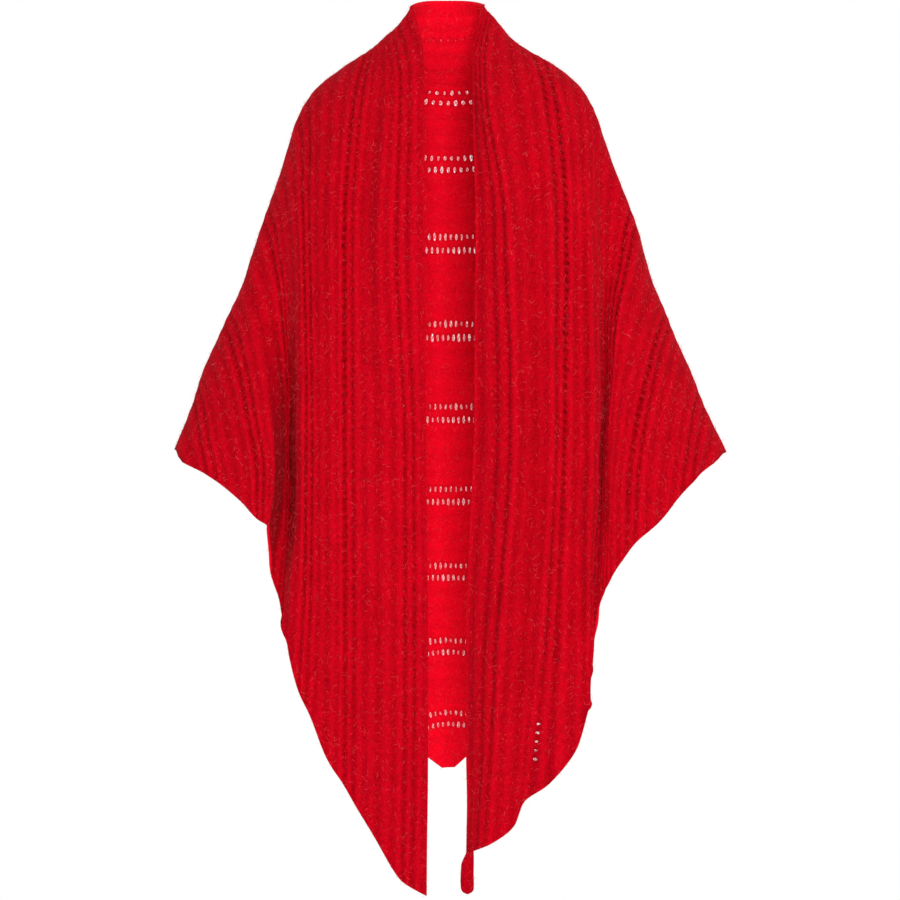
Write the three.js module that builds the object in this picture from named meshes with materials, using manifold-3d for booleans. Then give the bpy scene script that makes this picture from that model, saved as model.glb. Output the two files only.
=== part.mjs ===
// An open shawl cloak: one knitted triangle with bands of paired eyelets, worn round the neck
// and over the arms of a general figure that isn't shown. Millimetres, +Z up, front at -Y.
// The origin is between the shoulders, where the wearer's neck and shoulders carry the cloak.
import * as THREE from "three";
import Module from "manifold-3d";

const wasm = await Module();
wasm.setup();

// The sheet. A band number counts the ridged eyelet bands from the long edge.
const WALL = 2.4;
const SEAM = 0.3;
const EDGE_BAND = -0.5;
const NECK_BAND = 0;
const TIP_BAND = 5.42;
const POINT_BAND = 9.6;

// How the sheet turns over the neck, shoulders and arms
const TURN_LENGTH = 36;
const CENTRE_X = -1;
const LEFT_SPLIT_BAND = 2.62;
const RIGHT_SPLIT_BAND = 2.32;

// The eyelets that are cut through: the largest of each band
const EYELET = { along: 6.4, across: 5.6, depth: 7 };
const FRONT_PITCH = 11;
const BACK_PITCH = 8.2;

// Rows of the fronts and wings. Each row of the sheet runs from the crest, which is the line
// over the neck, shoulder and arm, down to the hem. x16 to x3 are its places at a sixteenth,
// a quarter, half and three quarters of its height.
const rowColumns = ["band", "crestX", "crestZ", "x16", "x1", "x2", "x3", "hemX", "hemZ"];
const LEFT_ROWS = table(rowColumns, [
  [-0.7, -40, 116, -30, -29, -28, -25, -27, -1022],
  [-0.5, -46, 101, -31, -30, -29, -26, -28, -1021],
  [0, -71, 67, -61, -66, -55, -55, -58, -1003],
  [0.5, -84, 56, -88, -99, -94, -93, -94, -946],
  [1, -104, 39, -119, -131, -131, -130, -131, -883],
  [1.4, -138, 17, -147, -152, -150, -150, -153, -848],
  [1.7, -167, -6, -167, -168, -165, -165, -172, -800],
  [2, -189, -40, -185, -182, -179, -180, -188, -764],
  [2.3, -206, -89, -198, -191, -189, -191, -203, -710],
  [2.75, -224, -146, -215, -204, -199, -200, -209, -673],
  [3, -234, -174, -225, -210, -203, -204, -214, -648],
  [3.3, -251, -222, -242, -225, -213, -214, -229, -600],
  [3.55, -262, -258, -254, -240, -228, -220, -226, -562],
  [4, -284, -306, -277, -264, -252, -241, -240, -549],
  [4.5, -305, -354, -301, -292, -283, -274, -266, -522],
  [5, -324, -402, -322, -318, -313, -308, -302, -495],
  [5.42, -347, -462, -344, -342, -340, -336, -331, -480],
]);
const RIGHT_ROWS = table(rowColumns, [
  [-0.7, 38, 115, 30, 29, 27, 20, 19, -967],
  [-0.5, 42, 101, 31, 33, 31, 22, 23, -967],
  [0, 53, 88, 44, 68, 76, 59, 45, -959],
  [0.5, 78, 58, 90, 108, 111, 98, 82, -932],
  [0.75, 98, 44, 113, 128, 129, 117, 94, -903],
  [1, 119, 31, 135, 147, 145, 137, 125, -880],
  [1.3, 146, 13, 156, 164, 166, 162, 162, -832],
  [1.6, 166, -4, 172, 178, 182, 177, 173, -791],
  [1.8, 176, -20, 181, 186, 189, 182, 175, -777],
  [2, 184, -38, 186, 189, 190, 183, 176, -755],
  [2.2, 193, -64, 191, 191, 190, 184, 178, -732],
  [2.5, 210, -111, 206, 199, 195, 190, 182, -702],
  [2.85, 229, -161, 222, 207, 199, 195, 187, -665],
  [3, 236, -179, 229, 210, 201, 198, 191, -650],
  [3.5, 260, -258, 251, 231, 213, 205, 204, -621],
  [4, 279, -305, 272, 258, 244, 236, 233, -580],
  [4.5, 301, -354, 296, 287, 279, 272, 267, -549],
  [5, 322, -408, 320, 316, 312, 308, 303, -505],
  [5.42, 349, -466, 346, 343, 340, 336, 331, -481],
]);

// Heights of the bands at the middle of the back
const BACK_ROWS = table(
  ["band", "z", "rise"],
  [
    [-0.7, 119, 2],
    [-0.5, 109, 2],
    [0, 59, 2],
    [1, -19, 1.6],
    [2, -104, 1.8],
    [3, -207, 2],
    [4, -319, 2],
    [5, -424, 2],
    [6, -529, 2],
    [7, -626, 2],
    [8, -721, 2],
    [9, -813, 1.6],
    [9.66, -874, 1],
  ],
);

// Where the rows of the back end on its hem, below the wing tips
const backHemColumns = ["band", "leftX", "leftZ", "rightX", "rightZ"];
const BACK_HEM = table(backHemColumns, [
  [5.42, -347, -462, 349, -466],
  [6, -276, -506, 282, -508],
  [6.5, -222, -556, 228, -562],
  [7, -200, -636, 176, -640],
  [7.5, -168, -715, 156, -702],
  [8, -128, -772, 122, -757],
  [9, -62, -829, 58, -822],
  [9.66, -4, -873, 2, -873],
]);

// Depth of the cloth before and behind the crest, from the neck down to the hem
const FRONT_DEPTH = table(
  ["z", "depth"],
  [
    [110, 16],
    [90, 22],
    [50, 46],
    [0, 78],
    [-50, 100],
    [-112, 115],
    [-225, 124],
    [-462, 126],
    [-775, 120],
    [-1017, 112],
  ],
);
const BACK_DEPTH = table(
  ["z", "depth"],
  [
    [116, 57],
    [59, 64],
    [-19, 100],
    [-104, 118],
    [-207, 124],
    [-424, 121],
    [-654, 116],
    [-870, 114],
  ],
);

// The deep fold between each front and its wing, where the cloth goes in under the arm
const LEFT_VALLEY = {
  band: [2.2, 2.75, 3.05, 3.6],
  depth: table(
    ["z", "in"],
    [
      [-123, 0],
      [-198, 8],
      [-274, 22],
      [-400, 50],
      [-500, 64],
      [-576, 56],
      [-651, 26],
      [-714, 6],
      [-800, 0],
    ],
  ),
};
const RIGHT_VALLEY = {
  band: [1.62, 2.2, 2.4, 3.3],
  depth: table(
    ["z", "in"],
    [
      [-48, 2],
      [-123, 20],
      [-211, 34],
      [-400, 44],
      [-588, 44],
      [-676, 40],
      [-764, 30],
      [-800, 24],
    ],
  ),
};

// Soft folds that run down the cloth: height of the ridge, or minus the depth of the trough
const foldColumns = ["band", "width", "height", "top", "bottom"];
const LEFT_FOLDS = table(foldColumns, [
  [0.3, 0.12, 5, 40, -330],
  [0.62, 0.14, -6, 30, -420],
  [1.35, 0.3, 5, -60, -820],
  [0.45, 0.25, 5, -420, -960],
  [2.12, 0.12, 4, -120, -640],
  [4.5, 0.3, -6, -400, -520],
]);
const RIGHT_FOLDS = table(foldColumns, [
  [0.12, 0.12, 6, 60, -900],
  [0.42, 0.14, -7, -60, -840],
  [0.72, 0.12, 6, -40, -800],
  [1.25, 0.18, -6, -150, -760],
  [1.5, 0.12, 7, -120, -740],
  [3.6, 0.3, -6, -300, -560],
]);

// Hanging flutes of the back: x at the shoulders and at the hem
const BACK_FOLDS = table(
  ["topX", "hemX", "width", "height", "top", "bottom"],
  [
    [-178, -218, 42, -11, -160, -640],
    [-112, -140, 36, 14, -220, -760],
    [-62, -78, 34, -10, -280, -900],
    [70, 80, 34, -10, -260, -900],
    [124, 142, 36, 13, -200, -760],
    [190, 222, 42, -11, -170, -640],
  ],
);
const ROLL_DEPTH = { left: 6, right: 26 };

// The narrow rolled end below the right front
const TAIL = { x: 23, y: -94, top: -967.3, bottom: -1019, wide: 17, thick: 9, turn: 1.1 };

const RED = 0xc30a1c;

// A table's rows become one list for each named column.
function table(names, rows) {
  return Object.fromEntries(names.map((name, i) => [name, rows.map((row) => row[i])]));
}

const clamp = (value, low, high) => Math.min(high, Math.max(low, value));

function smoothstep(low, high, value) {
  const t = clamp((value - low) / (high - low), 0, 1);
  return t * t * (3 - 2 * t);
}

// A smooth curve through the points (keys[i], values[i]) that never swings past them.
function curveThrough(keys, values) {
  const rising = keys.at(-1) > keys[0];
  const k = rising ? keys : [...keys].reverse();
  const v = rising ? values : [...values].reverse();
  const n = k.length;
  const slope = [];
  for (let i = 0; i < n - 1; i++) slope.push((v[i + 1] - v[i]) / (k[i + 1] - k[i]));
  const tangent = [slope[0]];
  for (let i = 1; i < n - 1; i++) {
    const product = slope[i - 1] * slope[i];
    const before = k[i] - k[i - 1];
    const after = k[i + 1] - k[i];
    const a = 2 * after + before;
    const b = after + 2 * before;
    tangent.push(product <= 0 ? 0 : (a + b) / (a / slope[i - 1] + b / slope[i]));
  }
  tangent.push(slope[n - 2]);
  return (at) => {
    if (at <= k[0]) return v[0] + tangent[0] * (at - k[0]);
    if (at >= k[n - 1]) return v[n - 1] + tangent[n - 1] * (at - k[n - 1]);
    let i = 0;
    while (at > k[i + 1]) i++;
    const h = k[i + 1] - k[i];
    const t = (at - k[i]) / h;
    const u = 1 - t;
    return (
      v[i] * u * u * (1 + 2 * t) +
      v[i + 1] * t * t * (3 - 2 * t) +
      h * t * u * (tangent[i] * u - tangent[i + 1] * t)
    );
  };
}

const column = (rows, key, name) => curveThrough(rows[key], rows[name]);
const frontDepth = column(FRONT_DEPTH, "z", "depth");
const backDepth = column(BACK_DEPTH, "z", "depth");
const backZ = column(BACK_ROWS, "band", "z");
const backRise = column(BACK_ROWS, "band", "rise");

// One side of the garment: its rows, crest and folds as functions of the band.
function makeSide(name, rows, valley, folds) {
  const side = { name, sign: name === "left" ? -1 : 1, valley, folds };
  side.crestX = column(rows, "band", "crestX");
  side.crestZ = column(rows, "band", "crestZ");
  side.hemZ = column(rows, "band", "hemZ");
  side.stations = ["crestX", "x16", "x1", "x2", "x3", "hemX"].map((key) => column(rows, "band", key));
  side.backHemX = column(BACK_HEM, "band", name + "X");
  side.backHemZ = column(BACK_HEM, "band", name + "Z");
  side.valleyDepth = column(valley.depth, "z", "in");
  const heights = [];
  const reaches = [];
  for (let band = -0.7; band < TIP_BAND + 0.001; band += 0.04) {
    heights.push(side.crestZ(band));
    reaches.push(Math.abs(side.crestX(band) - CENTRE_X));
  }
  side.reach = curveThrough(heights, reaches);
  return side;
}
const LEFT = makeSide("left", LEFT_ROWS, LEFT_VALLEY, LEFT_FOLDS);
const RIGHT = makeSide("right", RIGHT_ROWS, RIGHT_VALLEY, RIGHT_FOLDS);

// A share of a row's length, slowed near the crest so that the cloth rounds over it.
function roundedShare(share, length, turn) {
  const e = turn / Math.max(length, 1);
  if (e < 1e-6) return share;
  return (Math.hypot(share, e) - e) / (Math.hypot(1, e) - e);
}

// How much of the full depth the section has at x: it goes to nothing at the crest.
function sectionShare(side, x, z) {
  const across = clamp(Math.abs(x - CENTRE_X) / side.reach(z), 0, 1);
  return Math.sqrt(1 - across * across);
}

function foldHeight(folds, i, distance, z) {
  const inside = smoothstep(folds.top[i], folds.top[i] - 120, z);
  const above = 1 - smoothstep(folds.bottom[i] + 120, folds.bottom[i], z);
  return folds.height[i] * Math.exp(-distance * distance) * inside * above;
}

// The middle of the cloth on a front or wing: band across the sheet, share down the row.
function frontPoint(side, band, share) {
  const crestZ = side.crestZ(band);
  const hemZ = side.hemZ(band);
  const down = roundedShare(share, crestZ - hemZ, TURN_LENGTH);
  const z = crestZ + (hemZ - crestZ) * down;
  const places = side.stations.map((station) => station(band));
  const x = curveThrough([0, 1 / 16, 1 / 4, 1 / 2, 3 / 4, 1], places)(down);
  const near = sectionShare(side, x, z);
  const [a, b, c, d] = side.valley.band;
  const inValley = smoothstep(a, b, band) * (1 - smoothstep(c, d, band));
  const valley = Math.max(0, side.valleyDepth(z)) * inValley * smoothstep(0.1, 0.5, near);
  const roll = ROLL_DEPTH[side.name] * smoothstep(NECK_BAND + 0.1, EDGE_BAND, band) ** 1.4;
  let relief = 0;
  side.folds.band.forEach((middle, i) => {
    relief += foldHeight(side.folds, i, (band - middle) / side.folds.width[i], z);
  });
  const y = -frontDepth(z) * near + valley + (roll - relief) * smoothstep(0, 0.5, near);
  return new THREE.Vector3(x, y, z);
}

// The middle of the cloth on the back: share is 0 at the middle, 1 at the crest or hem.
function backPoint(side, band, share) {
  const open = smoothstep(TIP_BAND, TIP_BAND + 0.6, band);
  const endX = band <= TIP_BAND ? side.crestX(band) : side.backHemX(band);
  const endZ = band <= TIP_BAND ? side.crestZ(band) : side.backHemZ(band);
  const span = Math.abs(endX - CENTRE_X);
  const left = roundedShare(1 - share, span, TURN_LENGTH * (1 - open));
  const out = 1 - left;
  const x = CENTRE_X + (endX - CENTRE_X) * out;
  const z = backZ(band) + (endZ - backZ(band)) * out ** backRise(band);
  const near = sectionShare(side, x, z);
  let relief = 0;
  BACK_FOLDS.topX.forEach((topX, i) => {
    const low = clamp((BACK_FOLDS.top[i] - z) / (BACK_FOLDS.top[i] - BACK_FOLDS.bottom[i]), 0, 1);
    const middle = topX + (BACK_FOLDS.hemX[i] - topX) * low;
    relief += foldHeight(BACK_FOLDS, i, (x - middle) / BACK_FOLDS.width[i], z);
  });
  const y = backDepth(z) * near + relief * smoothstep(0.1, 0.6, near);
  return new THREE.Vector3(x, y, z);
}

// A stretch of the sheet as a function of the band and the share of the row. facing is 1
// where a step across the bands, turned by a step along the row, points out of the cloak.
const WHOLE_BACK = {
  facing: -1,
  at: (band, across) => backPoint(across < 0 ? LEFT : RIGHT, band, Math.abs(across)),
  crestSide: (band, across) =>
    band <= TIP_BAND && Math.abs(across) === 1 ? (across < 0 ? LEFT : RIGHT) : null,
};
const frontOf = (side) => ({
  facing: -side.sign,
  at: (band, share) => frontPoint(side, band, share),
  crestSide: (band, share) => (share === 0 ? side : null),
});

// On the crest the cloth faces straight out of the garment's outline, front and back alike.
function crestWay(side, band) {
  const step = 0.01;
  const run = side.crestX(band + step) - side.crestX(band - step);
  const drop = side.crestZ(band + step) - side.crestZ(band - step);
  return new THREE.Vector3(-drop * side.sign, 0, run * side.sign).normalize();
}

// The way out of the cloth at a point, from two short steps along the sheet.
function outward(surface, band, share) {
  const crestSide = surface.crestSide(band, share);
  if (crestSide) return crestWay(crestSide, band);
  const step = 0.004;
  const alongBand = surface.at(band + step, share).sub(surface.at(band - step, share));
  const low = Math.max(share - step, -1);
  const high = Math.min(share + step, 1);
  const alongRow = surface.at(band, high).sub(surface.at(band, low));
  return alongBand.cross(alongRow).normalize().multiplyScalar(surface.facing);
}

// A closed wall between an outer and an inner grid of points.
function wallMesh(outer, inner) {
  const rows = outer.length;
  const columns = outer[0].length;
  const points = [...outer.flat(), ...inner.flat()];
  const under = rows * columns;
  const faces = [];
  const at = (i, j) => i * columns + j;
  const quad = (a, b, c, d) => faces.push(a, b, c, a, c, d);
  for (let i = 0; i < rows - 1; i++) {
    for (let j = 0; j < columns - 1; j++) {
      quad(at(i, j), at(i, j + 1), at(i + 1, j + 1), at(i + 1, j));
      quad(under + at(i, j), under + at(i + 1, j), under + at(i + 1, j + 1), under + at(i, j + 1));
    }
  }
  for (let j = 0; j < columns - 1; j++) {
    const last = rows - 1;
    quad(at(0, j), under + at(0, j), under + at(0, j + 1), at(0, j + 1));
    quad(at(last, j), at(last, j + 1), under + at(last, j + 1), under + at(last, j));
  }
  for (let i = 0; i < rows - 1; i++) {
    const last = columns - 1;
    quad(at(i, 0), at(i + 1, 0), under + at(i + 1, 0), under + at(i, 0));
    quad(at(i, last), under + at(i, last), under + at(i + 1, last), at(i + 1, last));
  }
  return solidOf(points, faces);
}

// A closed body from its points and triangles, turned to face out.
function solidOf(points, faces) {
  let volume = 0;
  for (let i = 0; i < faces.length; i += 3) {
    const [a, b, c] = [points[faces[i]], points[faces[i + 1]], points[faces[i + 2]]];
    volume += a.dot(new THREE.Vector3().crossVectors(b, c));
  }
  const facing = volume < 0 ? [...faces].reverse() : faces;
  const numbers = points.flatMap((point) => [point.x, point.y, point.z]);
  return new wasm.Manifold(
    new wasm.Mesh({
      numProp: 3,
      vertProperties: new Float32Array(numbers),
      triVerts: new Uint32Array(facing),
    }),
  );
}

// Moves the points of a seam line half the gap into the piece.
function pullIn(line, inside) {
  line.forEach((point, i) => {
    const way = inside[i].clone().sub(point).normalize();
    point.addScaledVector(way, SEAM / 2);
  });
}

// One stretch of the sheet. seams names the sides that meet a neighbour.
function stretch(surface, bands, shares, seams) {
  const middle = bands.map((band) => shares.map((share) => surface.at(band, share)));
  const ways = bands.map((band) => shares.map((share) => outward(surface, band, share)));
  const columnOf = (j) => middle.map((row) => row[j]);
  const last = shares.length - 1;
  if (seams.firstBand) pullIn(middle[0], middle[1]);
  if (seams.lastBand) pullIn(middle.at(-1), middle.at(-2));
  if (seams.firstShare) pullIn(columnOf(0), columnOf(1));
  if (seams.lastShare) pullIn(columnOf(last), columnOf(last - 1));
  const moved = (distance) =>
    middle.map((row, i) => row.map((point, j) => point.clone().addScaledVector(ways[i][j], distance)));
  return wallMesh(moved(WALL / 2), moved(-WALL / 2));
}

// Even steps from first to last.
function steps(first, last, count) {
  return Array.from({ length: count + 1 }, (_, i) => first + ((last - first) * i) / count);
}

// A four-sided cutter through the cloth at one eyelet.
function eyeletCutter(surface, band, share) {
  const middle = surface.at(band, share);
  const out = outward(surface, band, share);
  const along = surface.at(band, Math.min(share + 0.003, 1)).sub(middle).normalize();
  const across = new THREE.Vector3().crossVectors(out, along).normalize();
  const corners = [];
  for (const level of [-0.5, 0.5]) {
    for (let i = 0; i < 4; i++) {
      const angle = (i * Math.PI) / 2;
      const corner = middle.clone().addScaledVector(out, level * EYELET.depth);
      corner.addScaledVector(along, (Math.cos(angle) * EYELET.along) / 2);
      corner.addScaledVector(across, (Math.sin(angle) * EYELET.across) / 2);
      corners.push(corner);
    }
  }
  const faces = [0, 2, 1, 0, 3, 2, 4, 5, 6, 4, 6, 7];
  for (let i = 0; i < 4; i++) {
    const next = (i + 1) % 4;
    faces.push(i, next, 4 + next, i, 4 + next, 4 + i);
  }
  return solidOf(corners, faces);
}

// Shares along one row that lie a pitch apart, for count eyelets from the first share.
function pitchedShares(surface, band, first, last, pitch, count) {
  const shares = [];
  const parts = 600;
  let travelled = 0;
  let before = surface.at(band, first);
  for (let i = 1; i <= parts && shares.length < count; i++) {
    const share = first + ((last - first) * i) / parts;
    const here = surface.at(band, share);
    travelled += here.distanceTo(before);
    before = here;
    if (travelled >= pitch * (shares.length + 1)) shares.push(share);
  }
  return shares;
}

function cutEyelets(solid, surface, runs) {
  const cutters = [];
  for (const run of runs) {
    const shares = pitchedShares(surface, run.band, run.first, run.last, run.pitch, run.count);
    shares.forEach((share) => cutters.push(eyeletCutter(surface, run.band, share)));
  }
  return solid.subtract(wasm.Manifold.union(cutters));
}

// The shares of the rows, closer where the cloth turns over the crest.
const frontShares = [0, 0.015, 0.035, 0.065, ...steps(0.11, 1, 14)];

// The bands at which every stretch has a row of points, so that seams match
const UPPER_BANDS = [EDGE_BAND, -0.25, 0, 0.25, 0.5, 0.7, 0.9, 1.1, 1.3, 1.5];
const FOLD_BANDS = [1.62, 1.75, 1.91, 2.09, 2.2, 2.32, 2.45, 2.62, 2.75, 2.9];
const LOWER_BANDS = [3.1, 3.3, 3.5, 3.7, 3.9, 4.1, 4.4, 4.65, 4.9, 5.1, 5.25, TIP_BAND];
const BACK_BANDS = [5.65, 5.9, 6.1, 6.5, 6.9, 7.1, 7.5, 7.9, 8.1, 8.5, 8.9, 9.1, 9.35, POINT_BAND];
const SHEET_BANDS = [...UPPER_BANDS, ...FOLD_BANDS, ...LOWER_BANDS];
const bandsBetween = (first, last) => SHEET_BANDS.filter((band) => band >= first && band <= last);
const halfBack = [0, 0.13, 0.26, 0.38, 0.5, 0.62, 0.74, 0.84, 0.91, 0.96, 1];
const backShares = [...halfBack.slice(1).reverse().map((share) => -share), ...halfBack];

function neckBand() {
  const bands = bandsBetween(EDGE_BAND, NECK_BAND);
  const seams = { lastBand: true, firstShare: true, lastShare: true };
  return stretch(WHOLE_BACK, bands, backShares, seams);
}

// A row of eyelets on the back with its middle one on the middle line.
function middleRun(band, count) {
  const span = Math.abs(band < TIP_BAND ? LEFT.crestX(band) : LEFT.backHemX(band));
  const first = -(BACK_PITCH * (count + 1)) / 2 / span;
  return { band, first, last: 1, pitch: BACK_PITCH, count };
}

function back() {
  const bands = [...bandsBetween(NECK_BAND, TIP_BAND), ...BACK_BANDS];
  const seams = { firstBand: true, firstShare: true, lastShare: true };
  const solid = stretch(WHOLE_BACK, bands, backShares, seams);
  const runs = [1, 2, 3, 4, 5, 6, 7, 8].map((band) => middleRun(band, 9));
  return cutEyelets(solid, WHOLE_BACK, runs);
}

function front(side, bands, runs) {
  const seams = { lastBand: true, firstShare: true };
  return cutEyelets(stretch(frontOf(side), bands, frontShares, seams), frontOf(side), runs);
}

function leftFront() {
  return front(LEFT, bandsBetween(EDGE_BAND, LEFT_SPLIT_BAND), [
    { band: 1, first: 0.04, last: 0.92, pitch: FRONT_PITCH, count: 46 },
    { band: 2, first: 0.1, last: 0.92, pitch: FRONT_PITCH, count: 24 },
  ]);
}

function rightFront() {
  return front(RIGHT, bandsBetween(EDGE_BAND, RIGHT_SPLIT_BAND), [
    { band: 1, first: 0.04, last: 0.92, pitch: FRONT_PITCH, count: 48 },
  ]);
}

function wing(side, bands, runs) {
  const seams = { firstBand: true, firstShare: true };
  return cutEyelets(stretch(frontOf(side), bands, frontShares, seams), frontOf(side), runs);
}

function leftWing() {
  const bands = bandsBetween(LEFT_SPLIT_BAND, TIP_BAND);
  return wing(LEFT, bands, [{ band: 4, first: 0.16, last: 0.9, pitch: FRONT_PITCH, count: 10 }]);
}

function rightWing() {
  const bands = bandsBetween(RIGHT_SPLIT_BAND, TIP_BAND);
  return wing(RIGHT, bands, [{ band: 4, first: 0.16, last: 0.9, pitch: FRONT_PITCH, count: 10 }]);
}

// A flat oval section that twists and narrows a little on its way down.
function rightTail() {
  const sides = 10;
  const levels = 8;
  const points = [];
  for (let i = 0; i <= levels; i++) {
    const t = i / levels;
    const turn = TAIL.turn * t;
    const size = 0.72 + 0.28 * Math.sin(Math.PI * (0.25 + 0.6 * t));
    for (let j = 0; j < sides; j++) {
      const angle = (2 * Math.PI * j) / sides;
      const a = (Math.cos(angle) * TAIL.wide * size) / 2;
      const b = (Math.sin(angle) * TAIL.thick * size) / 2;
      const x = TAIL.x + a * Math.cos(turn) - b * Math.sin(turn);
      const y = TAIL.y + a * Math.sin(turn) + b * Math.cos(turn);
      points.push(new THREE.Vector3(x, y, TAIL.top + (TAIL.bottom - TAIL.top) * t));
    }
  }
  const faces = [];
  for (let i = 0; i < levels; i++) {
    for (let j = 0; j < sides; j++) {
      const a = i * sides + j;
      const b = i * sides + ((j + 1) % sides);
      faces.push(a, b, b + sides, a, b + sides, a + sides);
    }
  }
  for (let j = 1; j < sides - 1; j++) {
    faces.push(0, j + 1, j);
    faces.push(levels * sides, levels * sides + j, levels * sides + j + 1);
  }
  return solidOf(points, faces);
}

function knitMesh(name, solid) {
  const made = solid.getMesh();
  const geometry = new THREE.BufferGeometry();
  geometry.setAttribute("position", new THREE.BufferAttribute(made.vertProperties, 3));
  geometry.setIndex(new THREE.BufferAttribute(made.triVerts, 1));
  const material = new THREE.MeshStandardMaterial({ color: RED, roughness: 0.95, metalness: 0 });
  const mesh = new THREE.Mesh(geometry, material);
  mesh.name = name;
  return mesh;
}

const cloak = new THREE.Group();
cloak.add(knitMesh("neck_band", neckBand()));
cloak.add(knitMesh("back", back()));
cloak.add(knitMesh("left_front", leftFront()));
cloak.add(knitMesh("right_front", rightFront()));
cloak.add(knitMesh("left_wing", leftWing()));
cloak.add(knitMesh("right_wing", rightWing()));
cloak.add(knitMesh("right_tail", rightTail()));

export default cloak;
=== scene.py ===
# An open shawl cloak in red brushed knit: one knitted triangle with bands of paired eyelets,
# worn round the neck and over the arms of a wearer who isn't shown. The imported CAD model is
# the frame. Sizes of the cloth are in millimetres until a mesh is made, which is in metres.
import math

import bpy
import numpy as np
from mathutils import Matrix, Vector


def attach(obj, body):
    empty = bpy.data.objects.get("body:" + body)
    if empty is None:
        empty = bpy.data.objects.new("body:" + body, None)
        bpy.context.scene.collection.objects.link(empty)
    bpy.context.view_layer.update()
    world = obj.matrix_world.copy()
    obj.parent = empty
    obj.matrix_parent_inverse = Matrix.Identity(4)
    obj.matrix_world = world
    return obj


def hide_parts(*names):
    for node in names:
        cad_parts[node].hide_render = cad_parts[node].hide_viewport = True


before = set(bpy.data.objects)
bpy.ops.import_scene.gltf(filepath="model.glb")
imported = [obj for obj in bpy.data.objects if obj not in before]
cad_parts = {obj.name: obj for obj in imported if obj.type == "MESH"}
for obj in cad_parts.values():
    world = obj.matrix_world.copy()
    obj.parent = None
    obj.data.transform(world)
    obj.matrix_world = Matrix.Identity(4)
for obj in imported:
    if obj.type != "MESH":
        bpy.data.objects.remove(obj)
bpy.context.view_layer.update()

MM = 0.001

# The sheet. A band number counts the ridged eyelet bands from the long edge.
EDGE_BAND = -0.5
NECK_BAND = 0.0
TIP_BAND = 5.42
POINT_BAND = 9.6
LEFT_SPLIT_BAND = 2.63
RIGHT_SPLIT_BAND = 2.33
BACK_SPLIT_BAND = 4.48
BAND_MM = 55.0
POINT_BAND_MM = 90.0
HALF_WALL = 1.2

# How the sheet turns over the neck, shoulders and arms
TURN_LENGTH = 36.0
CENTRE_X = -1.0

# Eyelets: a pair of rows for each band, with CELLS grid cells from one eyelet to the next
PAIR_STEP = 0.16
CELLS = 4
FRONT_PITCH = 11.0
EYELET_ACROSS = 1.22
EYELET_ALONG = 1.04
EYELET_SPREAD = (0.78, 1.12)
EYELET_LEAN = 0.09
EYELET_SHIFT = 0.22

# Where each band has rows of points, as offsets from its main eyelet row, and where the long edge
# and the hem at the point have rows too, in millimetres from them
BAND_OFFSETS = (
    -0.20, -0.16, -0.12, -0.08, -0.04, 0, 0.04, 0.08, 0.12, 0.16, 0.20,
    0.245, 0.29, 0.33, 0.38, 0.43, 0.48, 0.53, 0.58, 0.63, 0.68, 0.725, 0.765,
)
EDGE_STEPS = (0.7, 1.7, 3.0, 4.6, 6.6)
POINT_STEPS = (0.8, 2.0, 3.6)

# Distances from a hem at which each row has its last points, for the rolled rim
RIM_STEPS = (5.2, 3.4, 1.9, 0.8, 0.0)
RIM_MIDDLE = 2.4
RIM_WIDTH = 1.9
RIM_SWELL = 1.3

# Where a front hangs below the back, only this stretch of one row of the right front is open
BARE_MARGIN = 12.0
PALE_ROW = 0.84
PALE_FROM = -850.0
PALE_TO = -800.0

# How pale the yarn looks, as painted light and shade: the inner side painted paler as if lit and the outer
# side darker as if shaded, grooves painted darker and ridges paler along the ribs, and a painted highlight on
# the rolled rims
INNER_PAINTED_LIGHT = 1.28
INNER_RIB_PAINTED_SHADE = 0.12
OUTER_PAINTED_SHADE = 0.02
OUTER_RIB_PAINTED_SHADE = 0.26
RIM_PAINTED_HIGHLIGHT = 0.12

# Colours of the yarn in its dark and pale parts, and what is taken off the sum that mixes them; the sum holds
# random tone and painted light and shade
KNIT_DARK = (0.30, 0.0, 0.004)
KNIT_PALE = (0.62, 0.001, 0.011)
PALENESS_BASE = 0.86

# The floor, and the camera in front, which sees the cloak as the photo does
FLOOR_Z = -1.45
FLOOR_RADIUS = 3.0
CAMERA_PLACE = (0.00125, -10.12, -0.4625)
LENS = 320

# The rim curls out a little and the hem waves; over the crest, where cloth is taut, all this is calm
RIM_CURL = 1.6
RIM_TURN = 2.8
HEM_WAVE = 1.2
CREST_CALM = 32.0
CREST_RIBS = 0.25

# Hairs across each eyelet, with sizes in millimetres, and loose fibres in all, with sizes in metres
HAIRS = {"front": 4, "back": 9}
HAIR_HALF_WIDTH = (0.14, 0.34)
FIBRES = 48000
FIBRE_LENGTH = (0.0035, 0.0095)
FIBRE_HALF_WIDTH = 0.00011

# The usual length of a step of the grid along a row of the back
BACK_STEP = 1.7

# Height of the cloth's small unevenness
UNEVEN_HEIGHT = 0.45

SEED = 7


def table(names, rows):
    """One list of numbers for each named column."""
    return {name: np.array([row[i] for row in rows], float) for i, name in enumerate(names)}


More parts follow.
